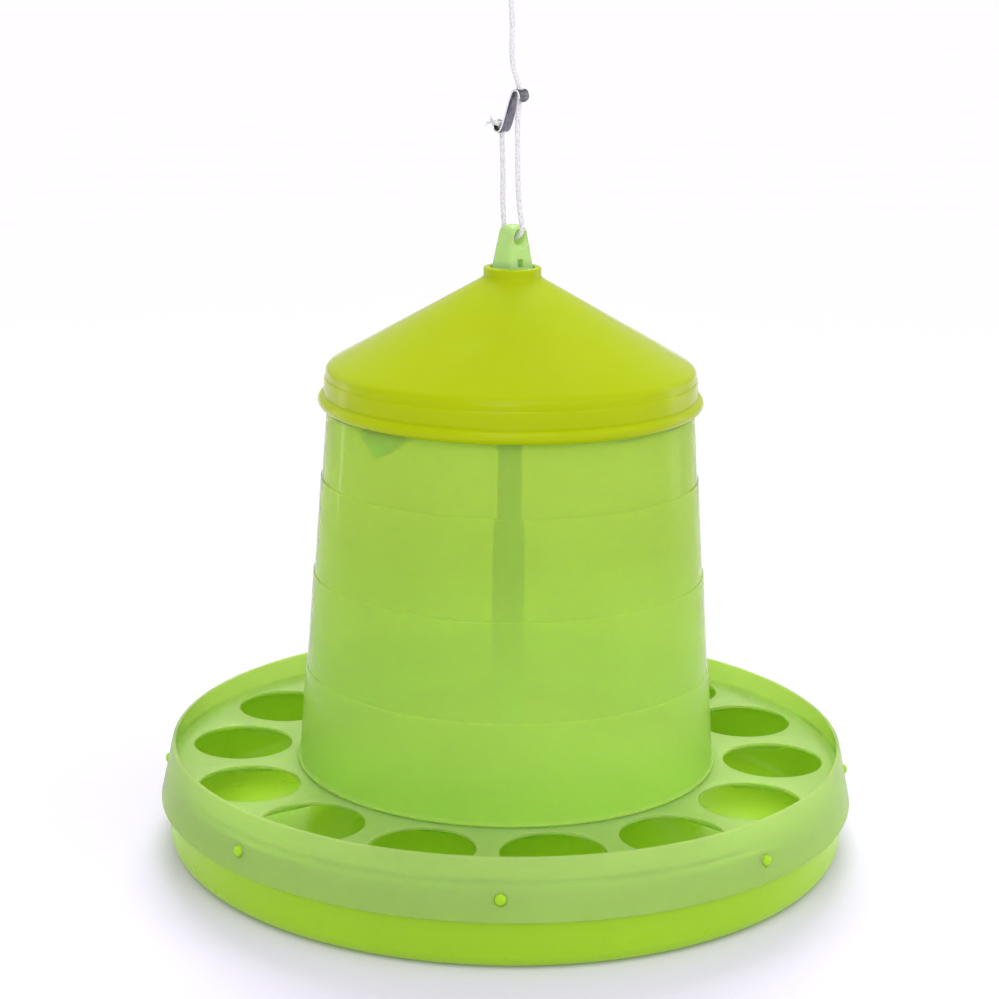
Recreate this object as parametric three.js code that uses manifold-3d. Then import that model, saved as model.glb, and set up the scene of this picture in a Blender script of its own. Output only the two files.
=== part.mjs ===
// Gravity poultry feeder with an anti-waste grille, hung on a cord.
// Millimetres, +Z up. The origin is the middle of the pan's foot, and the front is -Y.
import * as THREE from 'three';
import { mergeVertices } from 'three/addons/utils/BufferGeometryUtils.js';
import Module from 'manifold-3d';

const wasm = await Module();
wasm.setup();

// ---- driving dimensions ----
const GAP = 0.3;                 // space kept between two pieces that touch
const FACETS = 48;               // flats round each turned part
const WALL = 2.2;                // wall of the pan and grille
const SHEET = 2;                 // wall of the hopper and lid

const SKIRT_RADIUS = 200;        // grille skirt, outside, at its lower edge
const SKIRT_BOTTOM = 29;
const RIM_RADIUS = 193;          // grille skirt, outside, at its top edge
const RIM_HEIGHT = 62;
const PLATE_TOP = 49;            // upper face of the plate with the feeding holes

const HOLES = 14;
const HOLE_RADIUS = 28.5;
const HOLE_CIRCLE = 155;
const FIRST_HOLE = 10;           // degrees from the front towards +X
const RIB_DEPTH = 4;             // ribs under the plate, between the holes

const SNAPS = 8;                 // pan lugs that hold the skirt
const SNAP_HEIGHT = 41;
const SNAP_RADIUS = 3;

const PAN_RIM = 44;              // top of the pan wall
const PAN_WALL_RADIUS = 194;
const PAN_FOOT_RADIUS = 184;
const CONE_TOP = 64;             // feed-spreading cone in the middle of the pan
const CONE_FOOT_RADIUS = 112;
const FOOT_RING_RADIUS = 168;    // inside of the flat ring that the pan stands on
const FOOT_RING_HEIGHT = 1;

const HOPPER_FOOT = 51;          // where the lowest band of the hopper starts
const BAND = 55;                 // height between two level steps
const HOPPER_RADIUS = 119.9;     // outside, at the foot
const TAPER = 0.068;             // radius lost for each mm of height
const STEP = 0.8;                // how far each band stands out from the one above
const NECK_RADIUS = 101.5;       // the hopper narrows to this to go inside the lid
const HOPPER_TOP = 267;

const LID_BOTTOM = 255.6;
const LID_RADIUS = 105;
const BEAD_RADIUS = 3.8;         // half-round bead on the lid's lower edge
const SHOULDER = 279.3;          // where the lid's cone would meet its upright edge
const SEAT_TOP = 277;            // under the lid, where the cone's inside meets its seat
const COLLAR_BASE = 328;
const COLLAR_TOP = 334;
const COLLAR_RADIUS = 16.2;
const COLLAR_HOLE = 12.7;

const POST_RADIUS = 6.75;        // upper part of the hanging post
const POST_LOW_RADIUS = 9.2;     // lower part, which has to pass the bridge hub
const POST_SHOULDER = 188;       // where the post changes radius
const STUD_RADIUS = 6.9;
const EAR_BASE = 333;
const EAR_TOP = 357.3;
const EAR_BASE_RADIUS = 11.45;   // to the corners
const EAR_TOP_RADIUS = 6.4;
const EYE_HEIGHT = 350.6;        // hole that the cord goes through
const EYE_RADIUS = 4.2;

const BRIDGE_TURN = -44;         // degrees from the front towards +X
const BRIDGE_BOTTOM = 255.3;
const BRIDGE_THICKNESS = 4;
const BRIDGE_WIDTH = 18;
const SEAT_HALF_WIDTH = 14;      // seats in the hopper wall for the bridge's ends
const SEAT_CORNER = 250.7;       // where a seat starts to narrow to its point
const SEAT_POINT = 240.3;
const HUB_HOLE = 9.9;

const CORD_RADIUS = 1.5;
const CORD_SIDES = 8;
const CORD_OFFSET = 7.2;         // from the post's axis to each strand, beside the ear
const CORD_BEND = 6.2;
const ADJUSTER_MIDDLE = new THREE.Vector3(-2.2, 0, 419.6);
const ADJUSTER_TURN = 35;        // degrees that its S is turned towards the front, about Z
const ADJUSTER_WIDTH = 9.5;
const ADJUSTER_PLATE = 1.4;
const ADJUSTER_HOLE = 5.7;       // from its middle to each cord hole, along the S
const TOP_KNOT = new THREE.Vector3(-2.2, 0, 492);
const TOP_KNOT_RADIUS = 3.6;
const STOPPER_LIFT = -7.7;       // height of the stopper knot from the adjuster's middle
const STOPPER_KNOT_RADIUS = 1.9;

const feeder = new THREE.Group();

// ---- materials ----
const limePlastic = new THREE.MeshStandardMaterial({ color: 0xa4cc0c, roughness: 0.35 });
const panPlastic = new THREE.MeshStandardMaterial({ color: 0x8fc128, roughness: 0.4 });
const clearPlastic = new THREE.MeshStandardMaterial({ color: 0xa2cc78, roughness: 0.3 });
const steel = new THREE.MeshStandardMaterial({ color: 0x8f9296, roughness: 0.3, metalness: 1 });
const nylon = new THREE.MeshStandardMaterial({ color: 0xf2f2ee, roughness: 0.8 });

// ---- shape helpers ----
const radians = THREE.MathUtils.degToRad;

/** A point at a radius, an azimuth in degrees from the front towards +X, and a height. */
function around(radius, azimuth, height) {
  const angle = radians(azimuth);
  return new THREE.Vector3(radius * Math.sin(angle), -radius * Math.cos(angle), height);
}

/** A manifold solid from a closed geometry, with shared vertices merged. */
function solid(geometry) {
  const bare = geometry.clone();
  bare.deleteAttribute('normal');
  bare.deleteAttribute('uv');
  const merged = mergeVertices(bare, 1e-4);
  const corners = merged.index.array;
  const kept = [];
  for (let i = 0; i < corners.length; i += 3) {
    const [a, b, c] = corners.slice(i, i + 3);
    if (a !== b && b !== c && c !== a) kept.push(a, b, c);
  }
  const mesh = new wasm.Mesh({
    numProp: 3,
    vertProperties: Float32Array.from(merged.attributes.position.array),
    triVerts: Uint32Array.from(kept),
  });
  return new wasm.Manifold(mesh);
}

/** Adds a named mesh made from a manifold solid. */
function addPiece(name, shape, material) {
  const result = shape.getMesh();
  const geometry = new THREE.BufferGeometry();
  geometry.setAttribute('position', new THREE.BufferAttribute(result.vertProperties, 3));
  geometry.setIndex(new THREE.BufferAttribute(result.triVerts, 1));
  geometry.computeVertexNormals();
  const mesh = new THREE.Mesh(geometry, material);
  mesh.name = name;
  feeder.add(mesh);
}

/** A solid of revolution about Z from [radius, height] points that run anticlockwise. */
function turned(profile, facets = FACETS) {
  const closed = [...profile, profile[0]].map(([radius, height]) => new THREE.Vector2(radius, height));
  return solid(new THREE.LatheGeometry(closed, facets).rotateX(Math.PI / 2));
}

/** Points on an arc in a profile, from one angle to another, in degrees. */
function arc(radius, height, size, from, to, steps) {
  return Array.from({ length: steps + 1 }, (_, i) => {
    const angle = radians(from + ((to - from) * i) / steps);
    return [radius + size * Math.cos(angle), height + size * Math.sin(angle)];
  });
}

/** An upright drum or cone, from one height to another. */
function drum(lowRadius, highRadius, low, high, facets) {
  const shape = new THREE.CylinderGeometry(highRadius, lowRadius, high - low, facets);
  return shape.rotateX(Math.PI / 2).translate(0, 0, (low + high) / 2);
}

/** A level drum that points outwards at an azimuth, from one radius to another. */
function spoke(azimuth, height, innerSize, outerSize, inner, outer, facets = 12) {
  const shape = new THREE.CylinderGeometry(outerSize, innerSize, outer - inner, facets);
  shape.translate(0, (inner + outer) / 2, 0).rotateZ(Math.PI + radians(azimuth));
  return solid(shape.translate(0, 0, height));
}

/** A block whose length lies along an azimuth, from one radius to another. */
function radialBlock(azimuth, inner, outer, width, low, high) {
  const shape = new THREE.BoxGeometry(width, outer - inner, high - low);
  shape.translate(0, -(inner + outer) / 2, (low + high) / 2).rotateZ(radians(azimuth));
  return solid(shape);
}

/** A tube that follows a curve through the points. */
function cordAlong(points, steps) {
  const section = new THREE.Shape(
    Array.from({ length: CORD_SIDES }, (_, i) => {
      const angle = (2 * Math.PI * i) / CORD_SIDES;
      return new THREE.Vector2(CORD_RADIUS * Math.cos(angle), CORD_RADIUS * Math.sin(angle));
    }),
  );
  const extrudePath = new THREE.CatmullRomCurve3(points, false, 'centripetal');
  return solid(new THREE.ExtrudeGeometry(section, { steps, extrudePath, bevelEnabled: false }));
}

// ---- feed pan: a tray with a hollow cone in the middle and snap lugs on its rim ----
function feedPan() {
  const neck = STUD_RADIUS + 0.6;
  const coneTopRadius = 14;
  const underside = CONE_TOP - 3.5;
  let pan = turned([
    [neck, underside],
    [coneTopRadius - 2, underside],
    [CONE_FOOT_RADIUS - 1.5, FOOT_RING_HEIGHT],
    [FOOT_RING_RADIUS - 1, FOOT_RING_HEIGHT],
    [FOOT_RING_RADIUS, 0],
    [PAN_FOOT_RADIUS, 0],
    ...arc(PAN_FOOT_RADIUS, 11, 11, -75, -10, 4),
    [196.2, 27],
    [PAN_WALL_RADIUS + 0.4, 31],
    [PAN_WALL_RADIUS, PAN_RIM],
    [PAN_WALL_RADIUS - WALL, PAN_RIM],
    [PAN_WALL_RADIUS - WALL - 0.4, 16],
    ...arc(PAN_FOOT_RADIUS - 2, FOOT_RING_HEIGHT + WALL + 9, 9, -10, -90, 4),
    [CONE_FOOT_RADIUS + 2, FOOT_RING_HEIGHT + WALL],
    [coneTopRadius, CONE_TOP],
    [neck, CONE_TOP],
  ]);
  for (let i = 0; i < SNAPS; i += 1) {
    const lug = spoke((360 / SNAPS) * i, SNAP_HEIGHT, SNAP_RADIUS, SNAP_RADIUS - 1, 192.6, 199.3);
    pan = pan.add(lug);
  }
  addPiece('feed_pan', pan, panPlastic);
}

// ---- feeding grille: a plate with 14 holes inside a skirt that snaps over the pan ----
function feedingGrille() {
  const slope = (SKIRT_RADIUS - RIM_RADIUS) / (RIM_HEIGHT - SKIRT_BOTTOM);
  const outside = (height) => RIM_RADIUS + slope * (RIM_HEIGHT - height);
  const plateBottom = PLATE_TOP - WALL;
  const plateHole = 119.3;
  let grille = turned([
    [plateHole, plateBottom],
    [outside(plateBottom) - WALL, plateBottom],
    [outside(SKIRT_BOTTOM) - WALL, SKIRT_BOTTOM + 0.6],
    [outside(SKIRT_BOTTOM) - WALL + 0.6, SKIRT_BOTTOM],
    [SKIRT_RADIUS - 0.6, SKIRT_BOTTOM],
    [SKIRT_RADIUS, SKIRT_BOTTOM + 0.6],
    [RIM_RADIUS, RIM_HEIGHT - 0.7],
    [RIM_RADIUS - 0.7, RIM_HEIGHT],
    [RIM_RADIUS - 1.5, RIM_HEIGHT],
    [RIM_RADIUS - WALL, RIM_HEIGHT - 0.7],
    [outside(PLATE_TOP + 2) - WALL, PLATE_TOP + 2],
    [outside(PLATE_TOP + 2) - WALL - 2, PLATE_TOP],
    [plateHole, PLATE_TOP],
  ]);
  for (let i = 0; i < HOLES; i += 1) {
    const azimuth = FIRST_HOLE + (360 / HOLES) * i;
    const middle = around(HOLE_CIRCLE, azimuth, 0);
    const hole = drum(HOLE_RADIUS, HOLE_RADIUS, plateBottom - 1, PLATE_TOP + 1, 24);
    grille = grille.subtract(solid(hole.translate(middle.x, middle.y, 0)));
  }
  for (let i = 0; i < HOLES; i += 1) {
    const azimuth = FIRST_HOLE + (360 / HOLES) * (i + 0.5);
    const rib = radialBlock(azimuth, 123, 188.5, 1.6, plateBottom - RIB_DEPTH, plateBottom + 1);
    grille = grille.add(rib);
  }
  for (let i = 0; i < SNAPS; i += 1) {
    const size = SNAP_RADIUS + 0.45;
    grille = grille.subtract(spoke((360 / SNAPS) * i, SNAP_HEIGHT, size, size, 190, 205));
  }
  addPiece('feeding_grille', grille, clearPlastic);
}

// ---- hopper: a tapered tube in four bands, with a snap-in spigot and a neck for the lid ----
function hopperRadius(height) {
  const band = Math.floor((height - HOPPER_FOOT) / BAND + 1e-6);
  return HOPPER_RADIUS - TAPER * (height - HOPPER_FOOT) - STEP * Math.min(band, 3);
}

function hopper() {
  const outer = [];
  const inner = [];
  for (let step = 1; step <= 3; step += 1) {
    const height = HOPPER_FOOT + BAND * step;
    const below = hopperRadius(height - 0.01);
    const above = hopperRadius(height + 0.01);
    outer.push([below, height - 0.8], [above, height]);
    inner.unshift([above - SHEET, height - 0.4], [below - SHEET, height - 1.6]);
  }
  const neckBase = LID_BOTTOM - GAP;
  const shoulder = hopperRadius(neckBase);
  const spigot = 118.8;
  const spigotBottom = 42;
  const beadTop = PLATE_TOP - WALL - 0.4;
  let body = turned([
    [spigot - SHEET, spigotBottom],
    [spigot - 0.3, spigotBottom],
    [spigot + 1.4, beadTop - 0.6],
    [spigot + 1.4, beadTop],
    [spigot, beadTop],
    [spigot, PLATE_TOP + GAP],
    [HOPPER_RADIUS + 1.5, PLATE_TOP + GAP],
    [HOPPER_RADIUS + 1.5, HOPPER_FOOT - 0.4],
    [HOPPER_RADIUS, HOPPER_FOOT + 0.6],
    ...outer,
    [shoulder, neckBase - 0.8],
    [shoulder - 0.8, neckBase],
    [NECK_RADIUS, neckBase],
    [NECK_RADIUS, HOPPER_TOP - 0.6],
    [NECK_RADIUS - 0.6, HOPPER_TOP],
    [NECK_RADIUS - SHEET, HOPPER_TOP],
    [NECK_RADIUS - SHEET, neckBase - SHEET],
    [shoulder - SHEET, neckBase - SHEET - 1],
    ...inner,
    [HOPPER_RADIUS - SHEET, HOPPER_FOOT],
    [spigot - SHEET, HOPPER_FOOT - 1],
  ]);
  for (const azimuth of [BRIDGE_TURN, BRIDGE_TURN + 180]) {
    body = body.add(bridgeSeat(azimuth));
  }
  addPiece('hopper', body, clearPlastic);
}

/** A pointed seat on the inside of the hopper wall that one end of the bridge rests on. */
function bridgeSeat(azimuth) {
  const top = BRIDGE_BOTTOM - GAP;
  const depth = 15;
  const outline = new THREE.Shape([
    new THREE.Vector2(-SEAT_HALF_WIDTH, top),
    new THREE.Vector2(-SEAT_HALF_WIDTH, SEAT_CORNER),
    new THREE.Vector2(0, SEAT_POINT),
    new THREE.Vector2(SEAT_HALF_WIDTH, SEAT_CORNER),
    new THREE.Vector2(SEAT_HALF_WIDTH, top),
  ]);
  const block = new THREE.ExtrudeGeometry(outline, { depth, bevelEnabled: false });
  block.rotateX(Math.PI / 2).translate(0, depth - hopperRadius(SEAT_POINT), 0).rotateZ(radians(azimuth));
  const middleOfWall = (height) => [hopperRadius(height) - SHEET / 2, height];
  const core = turned([[0, SEAT_POINT], middleOfWall(SEAT_POINT), middleOfWall(top), [0, top]]);
  return solid(block).intersect(core);
}

// ---- top bridge: a bar across the hopper's mouth that keeps the post upright ----
function topBridge() {
  const top = BRIDGE_BOTTOM + BRIDGE_THICKNESS;
  const half = NECK_RADIUS - SHEET - 1.3;
  let bridge = radialBlock(BRIDGE_TURN, -half, half, BRIDGE_WIDTH, BRIDGE_BOTTOM, top);
  const hub = solid(drum(HUB_HOLE + 4, HUB_HOLE + 3, BRIDGE_BOTTOM - 6, top + 6, 24));
  const rib = radialBlock(BRIDGE_TURN, -half + 12, half - 12, 2.4, top - 0.5, top + 5);
  const bore = solid(drum(HUB_HOLE, HUB_HOLE, BRIDGE_BOTTOM - 8, top + 8, 24));
  bridge = bridge.add(hub).add(rib).subtract(bore);
  addPiece('top_bridge', bridge, clearPlastic);
}

// ---- hanging post: hollow, from the stud under the pan to the ear above the lid ----
function hangingPost() {
  const guide = HUB_HOLE - 0.5;
  const bore = 3.6;
  const boreTop = 318;
  const shaft = turned([
    [bore, 47],
    [STUD_RADIUS, 47],
    [STUD_RADIUS, CONE_TOP + GAP],
    [POST_LOW_RADIUS, CONE_TOP + GAP],
    [POST_LOW_RADIUS, POST_SHOULDER - 4],
    [POST_RADIUS, POST_SHOULDER],
    [POST_RADIUS, 243],
    [guide, 247],
    [guide, 262],
    [POST_RADIUS, 266],
    [POST_RADIUS, 308],
    [EAR_BASE_RADIUS - 0.3, 320],
    [EAR_BASE_RADIUS - 0.3, EAR_BASE + 1],
    [0, EAR_BASE + 1],
    [0, boreTop],
    [bore, boreTop - 3],
  ], 24);
  const tower = solid(drum(EAR_BASE_RADIUS, EAR_TOP_RADIUS, EAR_BASE, EAR_TOP, 4));
  const eye = spoke(45, EYE_HEIGHT, EYE_RADIUS, EYE_RADIUS, -20, 20, 16);
  const recess = radialBlock(30, 5.5, 14, 4.2, EAR_BASE + 1.4, EAR_BASE + 6);
  addPiece('hanging_post', shaft.add(tower).subtract(eye).subtract(recess), clearPlastic);
}

// ---- post nut: a lobed plastic nut on the stud, in the hollow under the pan's cone ----
function postNut() {
  const top = CONE_TOP - 3.5 - GAP;
  let nut = solid(drum(11.2, 11.8, top - 9, top, 24));
  for (let i = 0; i < 2; i += 1) {
    nut = nut.add(radialBlock(90 * i, -19, 19, 4, top - 9, top - 5.5));
  }
  nut = nut.subtract(solid(drum(STUD_RADIUS + 0.4, STUD_RADIUS + 0.4, top - 10, top + 1, 24)));
  addPiece('post_nut', nut, panPlastic);
}

// ---- lid: a cone with a collar round the ear and a beaded edge over the hopper's neck ----
function lid() {
  const beadMiddle = LID_BOTTOM + BEAD_RADIUS;
  const body = turned([
    [LID_RADIUS - SHEET + 0.2, LID_BOTTOM],
    [LID_RADIUS - 0.4, LID_BOTTOM],
    ...arc(LID_RADIUS - 0.3, beadMiddle, BEAD_RADIUS, -65, 80, 6),
    [LID_RADIUS - 0.1, SHOULDER - 7.2],
    [LID_RADIUS - 0.8, SHOULDER - 6.4],
    [LID_RADIUS - 0.95, SHOULDER - 5],
    [LID_RADIUS - 2, SHOULDER - 1.9],
    [LID_RADIUS - 4.6, SHOULDER + 0.85],
    [COLLAR_RADIUS + 1.6, COLLAR_BASE - 0.8],
    [COLLAR_RADIUS, COLLAR_BASE + 0.4],
    [COLLAR_RADIUS, COLLAR_TOP - 1.2],
    [COLLAR_RADIUS - 1.2, COLLAR_TOP],
    [COLLAR_HOLE, COLLAR_TOP],
    [COLLAR_HOLE, COLLAR_BASE - 1.6],
    [NECK_RADIUS - 2.4, SEAT_TOP],
    [NECK_RADIUS - 2.4, HOPPER_TOP + GAP],
    [NECK_RADIUS - 0.2, HOPPER_TOP + GAP],
    [NECK_RADIUS - 0.2, SEAT_TOP - 2],
    [LID_RADIUS - SHEET - 0.2, SEAT_TOP - 6],
  ]);
  addPiece('lid', body, limePlastic);
}

// ---- cord adjuster: a steel plate bent into an S, with a cord hole in each hook ----
/** A point on the line of one cord hole, at a height from the adjuster's middle. */
function inTheHook(side, lift) {
  return around(side * ADJUSTER_HOLE, 90 - ADJUSTER_TURN, lift).add(ADJUSTER_MIDDLE);
}

function cordAdjuster() {
  const hook = [
    [8.2, 5.2], [8.7, 8.2], [7.2, 11.2], [4.5, 11.1], [2.4, 7.4], [1.0, 3.2],
  ].map(([x, y]) => new THREE.Vector2(x, y));
  const otherHook = hook.map((point) => point.clone().negate()).reverse();
  const middle = new THREE.SplineCurve([...hook, ...otherHook]);
  const steps = 30;
  const near = [];
  const far = [];
  for (let i = 0; i <= steps; i += 1) {
    const point = middle.getPoint(i / steps);
    const along = middle.getTangent(i / steps);
    const aside = new THREE.Vector2(-along.y, along.x).multiplyScalar(ADJUSTER_PLATE / 2);
    near.push(point.clone().add(aside));
    far.unshift(point.clone().sub(aside));
  }
  const outline = new THREE.Shape([...near, ...far]);
  const plate = new THREE.ExtrudeGeometry(outline, { depth: ADJUSTER_WIDTH, bevelEnabled: false });
  plate.translate(0, 0, -ADJUSTER_WIDTH / 2).rotateX(Math.PI / 2).rotateZ(-radians(ADJUSTER_TURN));
  let adjuster = solid(plate.translate(...ADJUSTER_MIDDLE));
  const holeSize = CORD_RADIUS + 0.6;
  for (const [side, low, high] of [[1, 6, 16], [-1, -16, -8.6]]) {
    const { x, y, z } = inTheHook(side, 0);
    const hole = drum(holeSize, holeSize, z + low, z + high, 12).translate(x, y, 0);
    adjuster = adjuster.subtract(solid(hole));
  }
  addPiece('cord_adjuster', adjuster, steel);
}

// ---- cord: two strands that meet inside the ear, a stopper knot, and a tied loop on top ----
/** Points from inside the ear's eye round its edge to a strand that rises beside the ear. */
function outOfTheEye(side) {
  const points = [0.3, 0.6].map((out) => around(side * out, 45, EYE_HEIGHT - 0.4));
  for (let angle = 0; angle <= 90; angle += 15) {
    const out = CORD_OFFSET - CORD_BEND + CORD_BEND * Math.sin(radians(angle));
    const up = CORD_BEND * (1 - Math.cos(radians(angle)));
    points.push(around(side * out, 45, EYE_HEIGHT - 0.4 + up));
  }
  return points;
}

function cords() {
  const beside = (point, x, y, z) => point.clone().add(new THREE.Vector3(x, y, z));
  const standing = [
    ...outOfTheEye(1),
    new THREE.Vector3(3.5, -4.3, 367),
    new THREE.Vector3(2.4, -3.7, 383),
    new THREE.Vector3(2.0, -3.2, 400),
    new THREE.Vector3(1.8, -2.9, 415),
    inTheHook(1, 11.2),
    new THREE.Vector3(-1.4, -1.2, 446),
    new THREE.Vector3(-1.9, -0.4, 465),
    beside(TOP_KNOT, 0, 0, -TOP_KNOT_RADIUS - GAP),
  ];
  addPiece('standing_cord', cordAlong(standing, 42), nylon);

  const knot = inTheHook(-1, STOPPER_LIFT);
  const returning = [
    ...outOfTheEye(-1),
    new THREE.Vector3(-5.8, 4.7, 368),
    new THREE.Vector3(-6.0, 3.9, 385),
    beside(knot, 0.1, 0.2, -7.2),
    beside(knot, 0, 0, -STOPPER_KNOT_RADIUS - GAP),
  ];
  addPiece('return_cord', cordAlong(returning, 24), nylon);

  const ball = new THREE.SphereGeometry(STOPPER_KNOT_RADIUS, 12, 8);
  addPiece('stopper_knot', solid(ball.translate(...knot)), nylon);

  const tail = [
    beside(knot, -1.3, -2.25, 0.3),
    beside(knot, -2.2, -3.9, 0.8),
    beside(knot, -4.2, -4.9, 1.6),
  ];
  addPiece('cord_tail', cordAlong(tail, 5), nylon);

  const top = new THREE.SphereGeometry(TOP_KNOT_RADIUS, 12, 8);
  addPiece('top_knot', solid(top.translate(...TOP_KNOT)), nylon);

  const loop = [];
  for (let angle = -62; angle <= 242; angle += 19) {
    const out = 9 * Math.cos(radians(angle));
    const up = 13 * Math.sin(radians(angle));
    loop.push(beside(TOP_KNOT, out, 0, 15.4 + up));
  }
  addPiece('cord_loop', cordAlong(loop, 20), nylon);
}

feedPan();
feedingGrille();
hopper();
topBridge();
hangingPost();
postNut();
lid();
cordAdjuster();
cords();

export default feeder;
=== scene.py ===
"""The looks of a hanging gravity poultry feeder, built round its CAD frame.

+Z up, and the front is -Y. Shapes are written in millimetres, as in the CAD part, and
are made in metres. An azimuth is in degrees from the front towards +X.
"""
import math
import random

import bmesh
import bpy
from mathutils import Matrix, Vector


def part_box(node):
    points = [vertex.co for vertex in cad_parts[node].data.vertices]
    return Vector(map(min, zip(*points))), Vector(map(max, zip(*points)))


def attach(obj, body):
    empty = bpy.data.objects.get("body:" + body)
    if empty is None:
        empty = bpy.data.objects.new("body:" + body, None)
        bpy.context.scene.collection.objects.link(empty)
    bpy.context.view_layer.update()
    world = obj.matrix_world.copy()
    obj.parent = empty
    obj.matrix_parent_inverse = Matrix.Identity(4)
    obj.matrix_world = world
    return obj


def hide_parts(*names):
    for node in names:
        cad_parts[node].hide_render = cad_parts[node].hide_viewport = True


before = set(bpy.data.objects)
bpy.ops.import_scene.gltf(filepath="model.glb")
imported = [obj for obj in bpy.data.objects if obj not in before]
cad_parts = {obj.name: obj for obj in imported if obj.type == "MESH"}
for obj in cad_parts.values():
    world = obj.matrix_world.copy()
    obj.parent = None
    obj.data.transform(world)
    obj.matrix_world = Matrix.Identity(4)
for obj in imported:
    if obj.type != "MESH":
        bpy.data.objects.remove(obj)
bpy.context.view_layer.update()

MM = 0.001
BODY = "feeder"
LID = "lid"


def low(node):
    """Height of a CAD node's lowest point."""
    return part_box(node)[0].z / MM


def high(node):
    """Height of a CAD node's highest point."""
    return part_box(node)[1].z / MM


def reach(node):
    """How far a CAD node reaches from the axis towards +X."""
    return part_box(node)[1].x / MM


# ---- sizes ----
ROUND = 192                               # flats round each turned shell
WALL = 2.2                                # pan and grille
SHEET = 2                                 # hopper and lid
GAP = 0.3                                 # between parts that rest on each other

SKIRT_RADIUS = reach("feeding_grille")
SKIRT_BOTTOM = low("feeding_grille")
RIM_HEIGHT = high("feeding_grille")
RIM_RADIUS = SKIRT_RADIUS - 7
PLATE_TOP = RIM_HEIGHT - 13
PLATE_BOTTOM = PLATE_TOP - WALL
PLATE_INSIDE = 119.3
HOLES = 14
HOLE_RADIUS = 28.5
HOLE_CIRCLE = 155
FIRST_HOLE = 10
RIB_DEPTH = 4
SNAPS = 8
SNAP_HEIGHT = 41
SNAP_RADIUS = 3

PAN_WALL_RADIUS = 194
PAN_LEDGE_RADIUS = 196.2                  # the widest place of the pan's wall, just under the skirt
PAN_LEDGE = 27
PAN_FOOT_RADIUS = 184
PAN_FOOT_CURVE = 11
PAN_RIM = 44
CONE_TOP = high("feed_pan")
CONE_ROOF = CONE_TOP - 3.5                # the hollow's ceiling, which the nut bears on
CONE_FOOT_RADIUS = 112
FOOT_RING_RADIUS = 168
FOOT_RING_HEIGHT = 1

HOPPER_FOOT = 51
FLANGE = 1.5                              # of the hopper's foot, past its wall
HOPPER_RADIUS = reach("hopper") - FLANGE
SPIGOT_RADIUS = 118.8
HOPPER_TOP = high("hopper")
SPIGOT_BOTTOM = low("hopper")
LID_BOTTOM = low("lid")
BAND = 55
TAPER = 0.068
STEP = 0.8
NECK_BASE = LID_BOTTOM - 0.1
NECK_RADIUS = 101.5

LID_RADIUS = 105
BEAD_RADIUS = 3.8
SHOULDER = 279.3                          # where the cone meets its rounded edge
SEAT_TOP = 277                            # under the lid, where the cone's inside meets its seat
COLLAR_TOP = high("lid")
COLLAR_BASE = COLLAR_TOP - 6
COLLAR_RADIUS = 16.2
COLLAR_HOLE = 12.7

POST_RADIUS = 6.75
POST_LOW_RADIUS = 9.2
POST_SHOULDER = 188
STUD_RADIUS = 6.9
POST_BOTTOM = low("hanging_post")
POST_BORE = 3.6
BORE_TOP = 318
GUIDE_BOTTOM = 247                        # the thicker stretch of the post inside the hub
GUIDE_TOP = 262
EAR_BASE = 333
EAR_TOP = high("hanging_post")
EYE_HEIGHT = 350.6
EYE_RADIUS = 4.2
EYE_AZIMUTH = 45

BRIDGE_TURN = -44
BRIDGE_BOTTOM = 255.3
BRIDGE_TOP = BRIDGE_BOTTOM + 4
BRIDGE_WIDTH = 18
SEAT_HALF_WIDTH = 14                      # seats on the hopper's inside for the bridge's ends
SEAT_CORNER = 250.7                       # where a seat starts to narrow to its point
SEAT_POINT = 240.3
SEAT_DEPTH = 13
HUB_HOLE = 9.9
HUB_REACH = 6                             # of the hub, above and below the bar

CORD_RADIUS = 1.5
CORD_OFFSET = 7.2
CORD_BEND = 6.2
TOP_KNOT = Vector((-2.2, 0, 492))
STOPPER_LIFT = -7.7                       # of the stopper knot, from the adjuster's middle
ADJUSTER_MIDDLE = Vector((-2.2, 0, 419.6))
ADJUSTER_TURN = 35                        # of the adjuster's S about the upright, from the X axis
ADJUSTER_HOLE = 5.7                       # from the adjuster's middle to each cord hole, along the S


# ---- camera ----
def camera():
    """The photograph's viewpoint: 1.3 m away and looking down by 14 degrees."""
    distance, height, aside = 1.300, 0.522, -0.0056
    pitch, roll, turn = (math.radians(angle) for angle in (13.9, 0.72, 0.75))
    data = bpy.data.cameras.new("camera")
    data.sensor_width = 36
    data.lens = 84.7
    right = Vector((1, 0, 0))
    up = Vector((0, math.sin(pitch), math.cos(pitch)))
    rolled_right = right * math.cos(roll) + up * math.sin(roll)
    rolled_up = up * math.cos(roll) - right * math.sin(roll)
    back = rolled_right.cross(rolled_up)
    pose = Matrix((rolled_right, rolled_up, back)).transposed().to_4x4()
    pose.translation = Vector((aside, -distance, height))
    item = bpy.data.objects.new("camera", data)
    item.matrix_world = Matrix.Rotation(turn, 4, "Z") @ pose
    bpy.context.scene.collection.objects.link(item)
    bpy.context.scene.camera = item


# ---- shape helpers ----
def around(radius, azimuth, height):
    """The point at a distance from the axis, an azimuth and a height."""
    angle = math.radians(azimuth)
    return Vector((radius * math.sin(angle), -radius * math.cos(angle), height))


def new_object(name, mesh):
    """An object from a bmesh in millimetres, with its faces turned outwards."""
    bmesh.ops.recalc_face_normals(mesh, faces=mesh.faces)
    bmesh.ops.scale(mesh, vec=(MM, MM, MM), verts=mesh.verts)
    data = bpy.data.meshes.new(name)
    mesh.to_mesh(data)
    mesh.free()
    item = bpy.data.objects.new(name, data)
    bpy.context.scene.collection.objects.link(item)
    return item


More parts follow.
